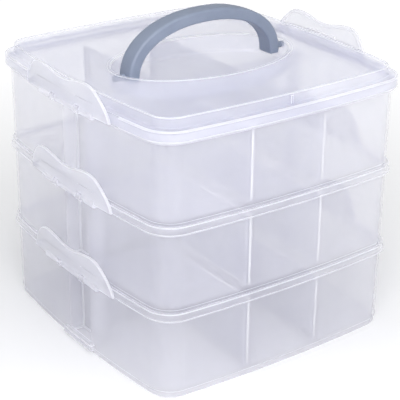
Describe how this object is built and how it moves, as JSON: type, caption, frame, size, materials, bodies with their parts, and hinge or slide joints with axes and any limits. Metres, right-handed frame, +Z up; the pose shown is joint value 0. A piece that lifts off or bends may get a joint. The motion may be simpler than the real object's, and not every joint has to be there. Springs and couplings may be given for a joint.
{
  "type": "sewing box with trays",
  "caption": "Stacking sewing box: clear trays with lift-out dividers, side latches and a lid with a folding carry handle.",
  "frame": {"origin": "centre of the underside, on the surface the box stands on", "axes": "+Z up; the front is the -Y side; the latches are on the -X and +X sides and the handle spans X"},
  "size_m": [0.1616, 0.158, 0.1655],
  "materials": {
    "tray_plastic": "milky clear polypropylene, semi-gloss",
    "lid_plastic": "milky clear polypropylene, semi-gloss",
    "divider_plastic": "milky clear polypropylene, semi-gloss",
    "latch_plastic": "frosted polypropylene, fine texture",
    "handle_plastic": "slate blue moulded plastic, satin"
  },
  "bodies": {
    "tray_bottom": {"tray_bottom": "tray_plastic", "divider_bottom_front_left": "divider_plastic", "divider_bottom_front_right": "divider_plastic", "divider_bottom_back_left": "divider_plastic", "divider_bottom_back_right": "divider_plastic"},
    "latch_bottom_left": {"latch_bottom_left": "latch_plastic"},
    "latch_bottom_right": {"latch_bottom_right": "latch_plastic"},
    "tray_middle": {"tray_middle": "tray_plastic", "divider_middle_front_left": "divider_plastic", "divider_middle_front_right": "divider_plastic", "divider_middle_back_left": "divider_plastic", "divider_middle_back_right": "divider_plastic"},
    "latch_middle_left": {"latch_middle_left": "latch_plastic"},
    "latch_middle_right": {"latch_middle_right": "latch_plastic"},
    "tray_top": {"tray_top": "tray_plastic", "divider_top_front_left": "divider_plastic", "divider_top_front_right": "divider_plastic", "divider_top_back_left": "divider_plastic", "divider_top_back_right": "divider_plastic"},
    "latch_top_left": {"latch_top_left": "latch_plastic"},
    "latch_top_right": {"latch_top_right": "latch_plastic"},
    "lid": {"lid": "lid_plastic"},
    "handle": {"handle": "handle_plastic"}
  },
  "joints": [
    {"name": "tray_middle_lift", "type": "slide", "parent": "tray_bottom", "child": "tray_middle", "axis": [0, 0, 1], "range_m": [0, 0.06]},
    {"name": "tray_top_lift", "type": "slide", "parent": "tray_middle", "child": "tray_top", "axis": [0, 0, 1], "range_m": [0, 0.06]},
    {"name": "lid_lift", "type": "slide", "parent": "tray_top", "child": "lid", "axis": [0, 0, 1], "range_m": [0, 0.06]},
    {"name": "latch_bottom_left_swing", "type": "hinge", "parent": "tray_bottom", "child": "latch_bottom_left", "pos_m": [-0.07819, -0.004, 0.0438], "axis": [0, -1, 0], "range_deg": [0, 100]},
    {"name": "latch_bottom_right_swing", "type": "hinge", "parent": "tray_bottom", "child": "latch_bottom_right", "pos_m": [0.07819, -0.004, 0.0438], "axis": [0, 1, 0], "range_deg": [0, 100]},
    {"name": "latch_middle_left_swing", "type": "hinge", "parent": "tray_middle", "child": "latch_middle_left", "pos_m": [-0.07819, -0.004, 0.0879], "axis": [0, -1, 0], "range_deg": [0, 100]},
    {"name": "latch_middle_right_swing", "type": "hinge", "parent": "tray_middle", "child": "latch_middle_right", "pos_m": [0.07819, -0.004, 0.0879], "axis": [0, 1, 0], "range_deg": [0, 100]},
    {"name": "latch_top_left_swing", "type": "hinge", "parent": "tray_top", "child": "latch_top_left", "pos_m": [-0.07819, -0.004, 0.132], "axis": [0, -1, 0], "range_deg": [0, 100]},
    {"name": "latch_top_right_swing", "type": "hinge", "parent": "tray_top", "child": "latch_top_right", "pos_m": [0.07819, -0.004, 0.132], "axis": [0, 1, 0], "range_deg": [0, 100]},
    {"name": "handle_fold", "type": "hinge", "parent": "lid", "child": "handle", "pos_m": [0, -0.004, 0.1384], "axis": [1, 0, 0], "range_deg": [-90, 90]}
  ]
}
